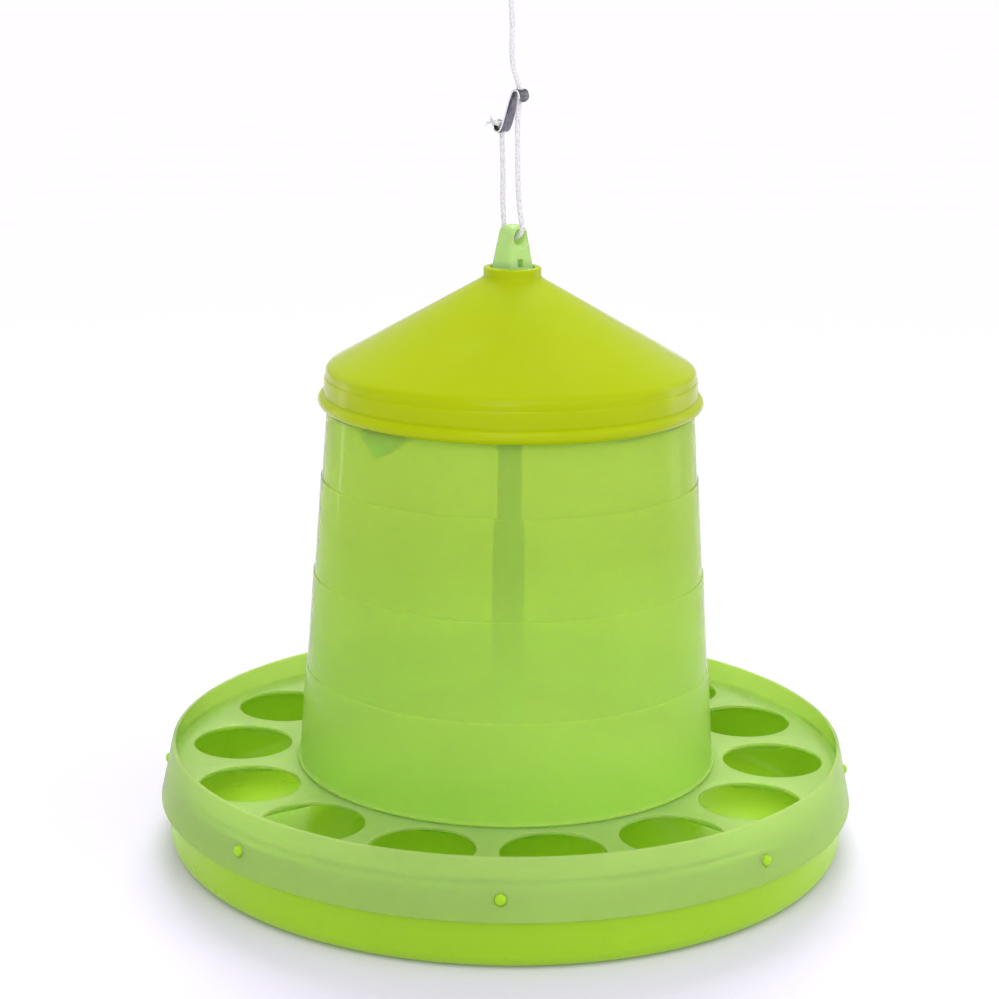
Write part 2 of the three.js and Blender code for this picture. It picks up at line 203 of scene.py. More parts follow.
def rounded(outline):
    """Outline points, with each (x, y, size) corner turned into a curve that starts size away."""
    steps = 4
    points = []
    for i, (x, y, *size) in enumerate(outline):
        corner = Vector((x, y))
        if not size:
            points.append(corner)
            continue
        before = Vector(outline[i - 1][:2]) - corner
        after = Vector(outline[(i + 1) % len(outline)][:2]) - corner
        start = corner + before.normalized() * min(size[0], before.length * 0.48)
        end = corner + after.normalized() * min(size[0], after.length * 0.48)
        for k in range(steps + 1):
            t = k / steps
            points.append(start.lerp(corner, t).lerp(corner.lerp(end, t), t))
    return points


def arc(radius, height, size, start, stop, steps):
    """Points on an arc in a profile, with its angles in degrees."""
    angles = [math.radians(start + (stop - start) * i / steps) for i in range(steps + 1)]
    return [(radius + size * math.cos(a), height + size * math.sin(a)) for a in angles]


def turned(name, profile, parts=ROUND):
    """A closed solid of revolution about Z from (radius, height) points."""
    mesh = bmesh.new()
    rings = []
    for radius, height in profile:
        if radius < 1e-6:
            rings.append([mesh.verts.new((0, 0, height))] * parts)
        else:
            rings.append([mesh.verts.new(around(radius, 360 * i / parts, height)) for i in range(parts)])
    for ring, following in zip(rings, rings[1:] + rings[:1]):
        for i in range(parts):
            j = (i + 1) % parts
            corners = dict.fromkeys((ring[i], ring[j], following[j], following[i]))
            if len(corners) > 2:
                mesh.faces.new(corners)
    return new_object(name, mesh)


def spoke(name, azimuth, height, profile, parts):
    """A solid of revolution about a level line at an azimuth, from (size, distance out) points."""
    item = turned(name, profile, parts)
    lay_down = Matrix.Rotation(math.radians(azimuth), 4, "Z") @ Matrix.Rotation(math.pi / 2, 4, "X")
    item.data.transform(Matrix.Translation((0, 0, height * MM)) @ lay_down)
    return item


def block(name, azimuth, inner, outer, width, bottom, top, soft=0.3):
    """A block with softened edges whose length lies along an azimuth."""
    mesh = bmesh.new()
    bmesh.ops.create_cube(mesh, size=1)
    bmesh.ops.scale(mesh, vec=(width, outer - inner, top - bottom), verts=mesh.verts)
    middle = Vector((0, -(inner + outer) / 2, (bottom + top) / 2))
    bmesh.ops.translate(mesh, vec=middle, verts=mesh.verts)
    if soft:
        bmesh.ops.bevel(mesh, geom=mesh.edges[:], offset=soft, segments=3, profile=0.5, affect="EDGES")
    turn = Matrix.Rotation(math.radians(azimuth), 3, "Z")
    bmesh.ops.rotate(mesh, matrix=turn, verts=mesh.verts)
    return new_object(name, mesh)


def prism(name, outline, start, stop, soft):
    """An outline in X and Z, pushed along Y, with softened edges."""
    mesh = bmesh.new()
    ends = [[mesh.verts.new((x, y, z)) for x, z in outline] for y in (start, stop)]
    for i in range(len(outline)):
        j = (i + 1) % len(outline)
        mesh.faces.new((ends[0][i], ends[0][j], ends[1][j], ends[1][i]))
    mesh.faces.new(ends[0])
    mesh.faces.new(ends[1])
    bmesh.ops.bevel(mesh, geom=mesh.edges[:], offset=soft, segments=3, profile=0.5, affect="EDGES")
    return new_object(name, mesh)


def loft(name, rings):
    """A closed solid through rings of points, with a cap at each end."""
    mesh = bmesh.new()
    made = [[mesh.verts.new(point) for point in ring] for ring in rings]
    for ring, following in zip(made, made[1:]):
        for i in range(len(ring)):
            j = (i + 1) % len(ring)
            mesh.faces.new((ring[i], ring[j], following[j], following[i]))
    mesh.faces.new(made[0])
    mesh.faces.new(made[-1])
    return new_object(name, mesh)


def combine(base, operation, *tools):
    """Joins the tools to base or cuts them out of it, and removes them."""
    for tool in tools:
        change = base.modifiers.new(operation, "BOOLEAN")
        change.operation = operation
        change.solver = "EXACT"
        change.object = tool
    graph = bpy.context.evaluated_depsgraph_get()
    data = bpy.data.meshes.new_from_object(base.evaluated_get(graph))
    base.modifiers.clear()
    base.data = data
    for tool in tools:
        bpy.data.objects.remove(tool)
    return base


def together(name, items):
    """One object from several that don't touch each other."""
    mesh = bmesh.new()
    for item in items:
        mesh.from_mesh(item.data)
        bpy.data.objects.remove(item)
    bmesh.ops.scale(mesh, vec=(1 / MM, 1 / MM, 1 / MM), verts=mesh.verts)
    return new_object(name, mesh)


def placed(item, material, slot, body, *nodes, sharp=32):
    """Gives a piece its finish and its body, and lets it stand for its CAD nodes."""
    item.data.materials.clear()
    item.data.materials.append(material)
    item.data.shade_smooth()
    item.data.set_sharp_from_angle(angle=math.radians(sharp))
    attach(item, body)
    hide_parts(*nodes)
    return item


# ---- materials ----
class Finish:
    """A Principled material whose coordinates are the object's own, in metres."""

    def __init__(self, name):
        """A plain material, ready for its nodes."""
        self.material = bpy.data.materials.new(name)
        self.material.use_nodes = True
        self.tree = self.material.node_tree
        self.shader = self.tree.nodes["Principled BSDF"]
        self.place = self.tree.nodes.new("ShaderNodeTexCoord").outputs["Object"]

    def set(self, **values):
        """Sets the shader's own sockets, with _ for each space in a socket's name."""
        for name, value in values.items():
            self.shader.inputs[name.replace("_", " ")].default_value = value

    def node(self, kind, inputs=(), **settings):
        """A new node, with each input linked or set to its value."""
        made = self.tree.nodes.new(kind)
        for name, value in settings.items():
            setattr(made, name, value)
        for socket, value in dict(inputs).items():
            if isinstance(value, bpy.types.NodeSocket):
                self.tree.links.new(value, made.inputs[socket])
            else:
                made.inputs[socket].default_value = value
        return made

    def stretched(self, scale):
        """The object's coordinates, stretched along each axis."""
        return self.node("ShaderNodeMapping", {"Vector": self.place, "Scale": scale}).outputs[0]

    def noise(self, scale, detail, place=None):
        """Cloudy values; a higher scale makes them finer."""
        inputs = {"Vector": place or self.place, "Scale": scale, "Detail": detail}
        return self.node("ShaderNodeTexNoise", inputs).outputs["Fac"]

    def between(self, value, low_end, high_end, start=0.0, stop=1.0):
        """The value, spread from low_end to high_end as it goes from start to stop."""
        inputs = {
            "Value": value,
            "From Min": start,
            "From Max": stop,
            "To Min": low_end,
            "To Max": high_end,
        }
        return self.node("ShaderNodeMapRange", inputs).outputs[0]

    def colour_between(self, value, first, second):
        """A mix that goes from the first colour to the second as the value goes from 0 to 1."""
        inputs = {"Factor": value, "A": first, "B": second}
        made = self.node("ShaderNodeMix", data_type="RGBA")
        for socket in made.inputs:
            if socket.enabled and socket.name in inputs:
                given = inputs[socket.name]
                if isinstance(given, bpy.types.NodeSocket):
                    self.tree.links.new(given, socket)
                else:
                    socket.default_value = (*given, 1)
        return next(socket for socket in made.outputs if socket.enabled)

    def link(self, value, name):
        """Feeds a value into one of the shader's sockets."""
        self.tree.links.new(value, self.shader.inputs[name])

    def bump(self, height, strength, distance, under=None):
        """A relief in the shading, on top of the one under it."""
        inputs = {"Height": height, "Strength": strength, "Distance": distance}
        if under is not None:
            inputs["Normal"] = under
        return self.node("ShaderNodeBump", inputs).outputs[0]

    def swallow(self, colour, density):
        """Colour that deepens with the thickness of plastic the light goes through."""
        inputs = {"Color": (*colour, 1), "Density": density}
        volume = self.node("ShaderNodeVolumeAbsorption", inputs)
        output = self.tree.nodes["Material Output"]
        self.tree.links.new(volume.outputs[0], output.inputs["Volume"])


def plastic(name, bottom, top):
    """Moulded plastic: clouded colour, faint flow waves up the wall, and a fine skin.

    bottom and top each start with a height and the colour there.
    """
    finish = Finish(name)
    height = finish.node("ShaderNodeSeparateXYZ", {"Vector": finish.place}).outputs["Z"]
    finish.rise = finish.between(height, 0, 1, bottom[0] * MM, top[0] * MM)
    colour = finish.colour_between(finish.rise, bottom[1], top[1])
    clouds = finish.between(finish.noise(7, detail=3), 0.95, 1.05, 0.3, 0.7)
    shade = finish.node("ShaderNodeHueSaturation", {"Color": colour, "Value": clouds})
    finish.link(shade.outputs[0], "Base Color")
    flow = finish.noise(22, detail=1, place=finish.stretched((1, 1, 0.2)))
    skin = finish.noise(900, detail=2)
    waves = finish.bump(flow, strength=0.08, distance=0.001)
    relief = finish.bump(skin, strength=0.1, distance=0.0001, under=waves)
    finish.link(relief, "Normal")
    return finish


def clear_plastic(name, milk, bottom, top):
    """Translucent moulded plastic: part of the light goes through, and part scatters inside.

    milk is the share that scatters; bottom and top are each (height, colour, clearness,
    roughness). The low index keeps the rims of the thin walls from turning white.
    """
    finish = plastic(name, bottom, top)
    finish.set(Subsurface_Weight=milk, Subsurface_Scale=0.008, Subsurface_Radius=(0.7, 1.0, 0.3))
    finish.link(finish.between(finish.rise, bottom[2], top[2]), "Transmission Weight")
    finish.link(finish.between(finish.rise, bottom[3], top[3]), "Roughness")
    finish.set(IOR=1.1)
    finish.swallow((0.955, 0.985, 0.1), density=260)
    return finish.material


def lime_plastic(name, colour, roughness, gloss, scatter_and_painted_glow):
    """Nearly opaque plastic; the last argument is the share of light that scatters inside it, and a
    quarter of it also makes the plastic glow in its own colour: painted light that stands in for light
    coming through the plastic.
    """
    finish = plastic(name, (0, colour), (100, colour))
    patches = finish.noise(40, detail=3)
    finish.link(finish.between(patches, roughness - 0.04, roughness + 0.05, 0.3, 0.7), "Roughness")
    finish.set(Subsurface_Weight=scatter_and_painted_glow, Subsurface_Scale=0.004, Subsurface_Radius=(0.8, 1.0, 0.1))
    finish.set(Specular_IOR_Level=gloss, IOR=1.49)
    # painted light: the plastic glows in its own colour, as if lit through from inside
    finish.set(Emission_Color=(*colour, 1), Emission_Strength=scatter_and_painted_glow * 0.25)
    return finish.material


def steel_plate(name, across):
    """Zinc-plated steel with fine rolling lines and patches, coloured dark as a painted reflection of a
    dark surround, and with a painted highlight along its cut edges.

    across is the direction that the strip's cut edges face.
    """
    finish = Finish(name)
    patches = finish.between(finish.noise(260, detail=4), 0, 1, 0.35, 0.65)
    # painted reflection: the steel is coloured dark to stand in for a dark surround reflected in it
    painted_dark_reflection = finish.colour_between(patches, (0.11, 0.112, 0.116), (0.2, 0.205, 0.21))
    facing = finish.node("ShaderNodeTexCoord").outputs["Normal"]
    square = finish.node("ShaderNodeVectorMath", {0: facing, 1: across}, operation="DOT_PRODUCT")
    edge = finish.node("ShaderNodeMath", {0: square.outputs["Value"]}, operation="ABSOLUTE")
    # painted highlight: faces turned towards the cut edges' direction are coloured bright
    painted_edge_highlight = finish.between(edge.outputs[0], 0, 1, 0.3, 0.8)
    finish.link(finish.colour_between(painted_edge_highlight, painted_dark_reflection, (0.85, 0.86, 0.88)), "Base Color")
    lines = finish.noise(1500, detail=3, place=finish.stretched((1, 1, 0.06)))
    finish.link(finish.between(lines, 0.2, 0.38, 0.3, 0.7), "Roughness")
    finish.link(finish.bump(lines, strength=0.3, distance=0.00008), "Normal")
    finish.set(Metallic=1.0)
    return finish.material


def braided_nylon(name):
    """White nylon filaments, with painted shade greying the dips between the plaits."""
    finish = Finish(name)
    threads = finish.noise(2600, detail=2, place=finish.stretched((1, 1, 0.25)))
    # painted shade: the low points of the plait relief are coloured grey
    painted_dip_shade = finish.between(threads, 0, 1, 0.35, 0.6)
    finish.link(finish.colour_between(painted_dip_shade, (0.5, 0.5, 0.51), (0.86, 0.86, 0.85)), "Base Color")
    finish.link(finish.bump(threads, strength=0.5, distance=0.0001), "Normal")
    finish.set(Roughness=0.55, Sheen_Weight=0.2)
    return finish.material


HOPPER_PLASTIC = clear_plastic(
    "hopper_plastic",
    milk=0.7,
    bottom=(50, (0.55, 0.90, 0.16), 0.42, 0.24),
    top=(190, (0.63, 0.82, 0.19), 0.68, 0.07),
)
GRILLE_PLASTIC = clear_plastic(
    "grille_plastic",
    milk=0.8,
    bottom=(30, (0.56, 0.77, 0.25), 0.6, 0.3),
    top=(62, (0.60, 0.80, 0.30), 0.6, 0.3),
)
# painted light: the post's colour pales from deep green up to the ear, so the ear, out in the open above
# the lid, looks lit and the post, bridge and seats inside the hopper look shaded
POST_PLASTIC = clear_plastic(
    "post_plastic",
    milk=0.5,
    bottom=(270, (0.24, 0.90, 0.26), 0.1, 0.3),
    top=(335, (0.56, 0.80, 0.33), 0.4, 0.3),
)
# The lid glows faintly in its own colour: painted light.
LID_PLASTIC = lime_plastic(
    "lid_plastic",
    (0.355, 0.443, 0.0005),
    roughness=0.2,
    gloss=0.12,
    scatter_and_painted_glow=0.4,
)
# The pan and nut glow in their own colour: painted light that brightens the pan's inside seen through
# the holes.
PAN_PLASTIC = lime_plastic(
    "pan_plastic",
    (0.29, 0.50, 0.02),
    roughness=0.3,
    gloss=0.15,
    scatter_and_painted_glow=0.9,
)
adjuster_angle = math.radians(ADJUSTER_TURN)
STEEL = steel_plate("steel", across=(math.sin(adjuster_angle), math.cos(adjuster_angle), 0))
NYLON = braided_nylon("nylon")


# ---- cords ----
NO_EDGES = 180                            # a sharp angle that leaves a piece smooth all over


def on_curve(corners, times, t):
    """The point at t on the Catmull-Rom span between the middle two corners."""
    row = corners
    for level in (((0, 1), (1, 2), (2, 3)), ((0, 2), (1, 3)), ((1, 2),)):
        row = [
            p.lerp(q, (t - times[a]) / (times[b] - times[a]))
            for (a, b), p, q in zip(level, row, row[1:])
        ]
    return row[0]


def smooth_path(points, step):
    """Points about step apart on one smooth curve through the given points."""
    ends = [points[0] * 2 - points[1], *points, points[-1] * 2 - points[-2]]
    path = []
    for corners in zip(ends, ends[1:], ends[2:], ends[3:]):
        times = [0]
        for p, q in zip(corners, corners[1:]):
            times.append(times[-1] + math.sqrt((q - p).length))
        count = max(1, round((corners[2] - corners[1]).length / step))
        for k in range(count):
            path.append(on_curve(corners, times, times[1] + (times[2] - times[1]) * k / count))
    return [*path, points[-1]]


def path_length(path):
    """The sum of the straight steps of a path."""
    return sum((q - p).length for p, q in zip(path, path[1:]))


def heading(path, i):
    """The direction of a path at its point number i."""
    return (path[min(i + 1, len(path) - 1)] - path[max(i - 1, 0)]).normalized()


def along(path):
    """Each point of a path, with two directions square to it that don't twist, and its distance."""
    aside, gone = None, 0
    for i, point in enumerate(path):
        ahead = heading(path, i)
        aside = ahead.orthogonal() if aside is None else aside - ahead * aside.dot(ahead)
        aside.normalize()
        gone += (point - path[i - 1]).length if i else 0
        yield point, aside, ahead.cross(aside), gone


def braid(name, path, radius=CORD_RADIUS, sides=24, plaits=4, pitch=9.0):
    """A round braid: two sets of plaits that wind opposite ways and pass over each other."""
    depth = 0.12
    rings = []
    for point, right, up, gone in along(path):
        ring = []
        for i in range(sides):
            angle = 2 * math.pi * i / sides
            turn = 2 * math.pi * gone / pitch
            over = max(math.cos(plaits * (angle - turn)), math.cos(plaits * (angle + turn)))
            size = radius * (1 - depth + depth * over)
            ring.append(point + (right * math.cos(angle) + up * math.sin(angle)) * size)
        rings.append(ring)
    return loft(name, rings)


def out_of_the_eye(side):
    """From inside the ear's eye round its edge to a strand that rises beside the ear."""
    height = EYE_HEIGHT - 0.4
    points = [around(side * out, EYE_AZIMUTH, height) for out in (0.3, 0.6)]
    for degrees in range(0, 91, 15):
        angle = math.radians(degrees)
        out = CORD_OFFSET - CORD_BEND + CORD_BEND * math.sin(angle)
        points.append(around(side * out, EYE_AZIMUTH, height + CORD_BEND * (1 - math.cos(angle))))
    return points


def wrapped_knot(name, middle, lean, turns, wrap_radius, strand):
    """A knot's outside: turns of cord wound tightly about a leaning line."""
    turn_steps = 24
    pitch = 1.9                           # rise of a turn, in strand radii
    steps = turn_steps * turns
    path = []
    for i in range(steps + 1):
        angle = 2 * math.pi * i / turn_steps
        rise = (i / steps - 0.5) * turns * strand * pitch
        narrow = wrap_radius * (1 - 0.25 * abs(2 * i / steps - 1) ** 3)
        path.append(Vector((narrow * math.cos(angle), narrow * math.sin(angle), rise)))
    tilt = Matrix.Rotation(math.radians(lean), 3, "Y") @ Matrix.Rotation(math.radians(lean), 3, "X")
    path = [middle + tilt @ point for point in path]
    return braid(name, smooth_path(path, 0.45), strand, sides=16, pitch=7.0)


def in_the_hook(side, lift):
    """A point in one hook of the adjuster, on the line of its cord hole."""
    aside = Matrix.Rotation(math.radians(-ADJUSTER_TURN), 3, "Z") @ Vector((side * ADJUSTER_HOLE, 0, 0))
    return ADJUSTER_MIDDLE + aside + Vector((0, 0, lift))


def standing_route():
    """Up from the ear's eye through the adjuster to the top knot, and round the tied loop."""
    points = [
        *out_of_the_eye(1),
        Vector((3.5, -4.3, 367)),
        Vector((2.4, -3.7, 383)),
        Vector((2.0, -3.2, 400)),
        Vector((1.8, -2.9, 415)),
        in_the_hook(1, 11.2),
        Vector((-1.4, -1.2, 446)),
        Vector((-1.9, -0.4, 465)),
        TOP_KNOT + Vector((0, 0, -5)),
    ]
    loop_width, loop_height, loop_middle = 9, 13, 15.4
    for degrees in range(-62, 243, 19):
        angle = math.radians(degrees)
        rise = loop_middle + loop_height * math.sin(angle)
        points.append(TOP_KNOT + Vector((loop_width * math.cos(angle), 0, rise)))
    return points


def returning_route(knot):
    """Up from the ear's eye to the stopper knot, and out of it to the cut end."""
    return [
        *out_of_the_eye(-1),
        Vector((-5.8, 4.7, 368)),
        Vector((-6.0, 3.9, 385)),
        knot + Vector((0.1, 0.2, -7.2)),
        knot + Vector((0, 0, -2.5)),
        knot + Vector((-0.8, -1.4, 0.2)),
        knot + Vector((-2.2, -3.9, 0.8)),
        knot + Vector((-4.2, -4.9, 1.6)),
    ]


def cords():
    """The standing part up to its loop, and the part that comes back to the adjuster."""
    stopper_middle = in_the_hook(-1, STOPPER_LIFT)
    standing = standing_route()
    returning = returning_route(stopper_middle)
    top_knot = wrapped_knot(
        "top_knot_wraps",
        TOP_KNOT,
        lean=8,
        turns=3,
        wrap_radius=2.5,
        strand=1.35,
    )
    stopper = wrapped_knot(
        "stopper_knot_wraps",
        stopper_middle,
        lean=14,
        turns=2,
        wrap_radius=1.15,
        strand=0.85,
    )
    placed(top_knot, NYLON, "cord", BODY, "top_knot", sharp=NO_EDGES)
    placed(stopper, NYLON, "cord", BODY, "stopper_knot", sharp=NO_EDGES)
    fray = frayed_end(returning[-1], (returning[-1] - returning[-2]).normalized())
    placed(fray, NYLON, "cord", BODY, sharp=NO_EDGES)
    hang_cord("standing_braid", standing, "knot", [top_knot], "standing_cord", "cord_loop")
    hang_cord("return_braid", returning, "knot", [stopper, fray], "return_cord", "cord_tail")


def frayed_end(end, ahead):
    """Loose filaments that spread from a cut end."""
    draw = random.Random(4)
    count = 14
    strands = []
    for _ in range(count):
        spread = Vector([draw.uniform(-1, 1) for _ in "xyz"])
        spread -= ahead * spread.dot(ahead)
        start = end + spread * 0.75
        bend = start + ahead * draw.uniform(1.6, 2.4) + spread * 0.6
        tip = bend + ahead * draw.uniform(0.8, 2.2) + spread * draw.uniform(0.8, 2.0)
        path = smooth_path([start - ahead * 0.8, start, bend, tip], 0.35)
        strands.append(braid("filament", path, 0.26, sides=8, plaits=2, pitch=3.0))
    return together("cord_fray", strands)


def hang_cord(name, points, far_end, pieces, *nodes):
    """A braided cord from the ear's eye; the length of its own route is worked out but not used."""
    path = smooth_path(points, 0.4)
    item = placed(braid(name, path), NYLON, "cord", BODY, *nodes, sharp=NO_EDGES)
    route = [point * MM for point in path]
    length = path_length(route)
    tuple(route[0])


# ---- cord adjuster ----
def cord_adjuster():
    """A steel strip bent into an S, with rounded ends and a cord hole in each hook."""
    # one hook, from its end to near the middle; the other is the same, turned half round
    hook = [(8.2, 5.2), (8.7, 8.2), (7.2, 11.2), (4.5, 11.1), (2.4, 7.4), (1.0, 3.2)]
    hook = [Vector((x, 0, z)) for x, z in hook]
    middle = smooth_path([*hook, *[-point for point in reversed(hook)]], 0.5)
    length = path_length(middle)
    half_width, half_plate, corners = 4.75, 0.75, 24
    end_round, end_soften = 2.6, 0.8
    level = Vector((0, 1, 0))
    rings = []
    for i, (point, _, _, gone) in enumerate(along(middle)):
        ahead = heading(middle, i)
        from_end = min(gone, length - gone)
        tip = min(1, from_end / end_round)
        width = half_width * math.sqrt(max(0.12, 1 - (1 - tip) ** 2))
        thickness = half_plate * (0.75 + 0.25 * min(1, from_end / end_soften))
        ring = []
        for k in range(corners):
            angle = 2 * math.pi * k / corners
            across, thick = math.cos(angle), math.sin(angle)
            across = math.copysign(abs(across) ** 0.35, across) * width
            thick = math.copysign(abs(thick) ** 0.7, thick) * thickness
            ring.append(point + level * across + level.cross(ahead) * thick)
        rings.append(ring)
    plate = loft("adjuster_plate", rings)
    place = Matrix.Translation(ADJUSTER_MIDDLE * MM)
    plate.data.transform(place @ Matrix.Rotation(math.radians(-ADJUSTER_TURN), 4, "Z"))
    hole = CORD_RADIUS + 0.55
    flared = hole + 0.35
    for side, bottom, top in ((1, 6, 16), (-1, -16, -8.6)):
        drill = turned("drill", [(0, bottom), (hole, bottom), (flared, top), (0, top)], 32)
        drill.data.transform(Matrix.Translation(in_the_hook(side, 0) * MM))
        combine(plate, "DIFFERENCE", drill)
    placed(plate, STEEL, "steel", BODY, "cord_adjuster", sharp=40)


# ---- feed pan ----
def feed_pan():
    """A tray with a hollow cone in the middle, and lugs that hold the grille's skirt."""
    neck = STUD_RADIUS + 0.6
    floor = FOOT_RING_HEIGHT + WALL
    inside = PAN_WALL_RADIUS - WALL
    inner_curve = PAN_FOOT_CURVE - 2
    profile = rounded([
        (neck, CONE_ROOF, 0.3),
        (12, CONE_ROOF, 1.5),
        (CONE_FOOT_RADIUS - 1.5, FOOT_RING_HEIGHT, 4),
        (FOOT_RING_RADIUS - 1, FOOT_RING_HEIGHT, 0.3),
        (FOOT_RING_RADIUS, 0, 0.3),
        (PAN_FOOT_RADIUS, 0),
        *arc(PAN_FOOT_RADIUS, PAN_FOOT_CURVE, PAN_FOOT_CURVE, -80, -10, 10),
        (PAN_LEDGE_RADIUS, PAN_LEDGE, 1.2),
        (PAN_WALL_RADIUS + 0.4, PAN_LEDGE + 4, 1.2),
        (PAN_WALL_RADIUS, PAN_RIM, 0.7),
        (inside, PAN_RIM, 0.7),
        (inside - 0.4, 16, 3),
        *arc(PAN_FOOT_RADIUS - 2, floor + inner_curve, inner_curve, -10, -90, 10),
        (CONE_FOOT_RADIUS + 2, floor, 6),
        (14, CONE_TOP, 1.5),
        (neck, CONE_TOP, 0.3),
    ])
    pan = turned("pan_shell", profile)
    root, shoulder, rise = 191.9, 197.6, 2.0
    dome = [(SNAP_RADIUS * math.cos(a), shoulder + rise * math.sin(a)) for a in (0.4, 0.8, 1.2)]
    lug = [(0, root), (SNAP_RADIUS, root), (SNAP_RADIUS, shoulder), *dome, (0, shoulder + rise)]
    lugs = [spoke("lug", 360 / SNAPS * i, SNAP_HEIGHT, lug, 24) for i in range(SNAPS)]
    combine(pan, "UNION", together("lugs", lugs))
    placed(pan, PAN_PLASTIC, "pan_plastic", BODY, "feed_pan")


# ---- feeding grille ----
def skirt_radius(height):
    """Outside of the skirt, which leans in towards its rim."""
    slope = (SKIRT_RADIUS - RIM_RADIUS) / (RIM_HEIGHT - SKIRT_BOTTOM)
    return RIM_RADIUS + slope * (RIM_HEIGHT - height)


def feeding_grille():
    """A plate with a ring of feeding holes, inside a skirt that snaps over the pan."""
    profile = rounded([
        (PLATE_INSIDE, PLATE_BOTTOM, 0.4),
        (skirt_radius(PLATE_BOTTOM) - WALL, PLATE_BOTTOM, 1.2),
        (skirt_radius(SKIRT_BOTTOM) - WALL, SKIRT_BOTTOM, 0.8),
        (SKIRT_RADIUS, SKIRT_BOTTOM, 0.9),
        (RIM_RADIUS, RIM_HEIGHT, 1.0),
        (RIM_RADIUS - WALL, RIM_HEIGHT, 1.0),
        (skirt_radius(PLATE_TOP) - WALL, PLATE_TOP, 3.0),
        (PLATE_INSIDE, PLATE_TOP, 0.5),
    ])
    grille = turned("grille_shell", profile)
    rib_bottom, rib_top = PLATE_BOTTOM - RIB_DEPTH, PLATE_BOTTOM + 1
    ribs = []
    for i in range(HOLES):
        azimuth = FIRST_HOLE + 360 / HOLES * (i + 0.5)
        ribs.append(block("rib", azimuth, 123, 188.5, 1.6, rib_bottom, rib_top))
    combine(grille, "UNION", together("ribs", ribs))
    combine(grille, "DIFFERENCE", together("cuts", [*hole_cutters(), *window_cutters()]))
    placed(grille, GRILLE_PLASTIC, "translucent_plastic", BODY, "feeding_grille")


def hole_cutters():
    """One cutter for each feeding hole, which leaves a rounded edge above and below."""
    edge = 0.7
    size = HOLE_RADIUS + edge
    outline = [
        (0, PLATE_BOTTOM - 1),
        (size, PLATE_BOTTOM - 1),
        *arc(size, PLATE_BOTTOM + edge, edge, 270, 180, 4),
        *arc(size, PLATE_TOP - edge, edge, 180, 90, 4),
        (size, PLATE_TOP + 1),
        (0, PLATE_TOP + 1),
    ]
    cutters = []
    for i in range(HOLES):
        cutter = turned("cutter", outline, 72)
        middle = around(HOLE_CIRCLE, FIRST_HOLE + 360 / HOLES * i, 0)
        cutter.data.transform(Matrix.Translation(middle * MM))
        cutters.append(cutter)
    return cutters


def window_cutters():
    """One cutter for each window in the skirt, which one of the pan's lugs shows in."""
    wall = skirt_radius(SNAP_HEIGHT)
    inside, outside = 190, 205
    size = SNAP_RADIUS + 0.2
    flare = size + 0.4
    outline = [
        (0, inside),
        (size, inside),
        (size, wall - 0.5),
        (flare, wall + 0.3),
        (flare, outside),
        (0, outside),
    ]
    return [spoke("window", 360 / SNAPS * i, SNAP_HEIGHT, outline, 28) for i in range(SNAPS)]


# ---- hopper ----
def hopper_radius(height):
    """Outside of the hopper, whose bands each stand out from the one above."""
    band = math.floor((height - HOPPER_FOOT) / BAND + 1e-6)
    return HOPPER_RADIUS - TAPER * (height - HOPPER_FOOT) - STEP * min(band, 3)


def hopper():
    """A tapered tube in four bands, with a snap-in spigot and a neck for the lid."""
    outer, inner = [], []
    for step in (1, 2, 3):
        height = HOPPER_FOOT + BAND * step
        below, above = hopper_radius(height - 0.01), hopper_radius(height + 0.01)
        outer += [(below, height - 0.5, 0.35), (above, height, 0.35)]
        inner = [(above - SHEET, height - 0.4, 0.5), (below - SHEET, height - 1.6, 0.5), *inner]
    shoulder = hopper_radius(NECK_BASE)
    snap_bead = SPIGOT_RADIUS + 1.4
    bead_top = PLATE_BOTTOM - 0.4
    seat = PLATE_TOP + GAP
    profile = rounded([
        (SPIGOT_RADIUS - SHEET, SPIGOT_BOTTOM, 0.4),
        (SPIGOT_RADIUS - 0.3, SPIGOT_BOTTOM, 0.4),
        (snap_bead, bead_top - 0.6, 0.4),
        (snap_bead, bead_top, 0.3),
        (SPIGOT_RADIUS, bead_top, 0.2),
        (SPIGOT_RADIUS, seat, 0.2),
        (HOPPER_RADIUS + FLANGE, seat, 0.4),
        (HOPPER_RADIUS + FLANGE, HOPPER_FOOT - 0.4, 0.5),
        (HOPPER_RADIUS, HOPPER_FOOT + 0.6, 1.2),
        *outer,
        (shoulder, NECK_BASE, 0.8),
        (NECK_RADIUS, NECK_BASE, 0.4),
        (NECK_RADIUS, HOPPER_TOP, 0.7),
        (NECK_RADIUS - SHEET, HOPPER_TOP, 0.7),
        (NECK_RADIUS - SHEET, NECK_BASE - SHEET, 0.6),
        (shoulder - SHEET, NECK_BASE - SHEET - 1, 0.6),
        *inner,
        (HOPPER_RADIUS - SHEET, HOPPER_FOOT, 0.6),
        (SPIGOT_RADIUS - SHEET, HOPPER_FOOT - 1, 0.6),
    ])
    shell = turned("hopper_shell", profile)
    placed(shell, HOPPER_PLASTIC, "translucent_plastic", BODY, "hopper")
    seats = together("bridge_seats", [bridge_seat(BRIDGE_TURN + turn) for turn in (0, 180)])
    placed(seats, POST_PLASTIC, "translucent_plastic", BODY)


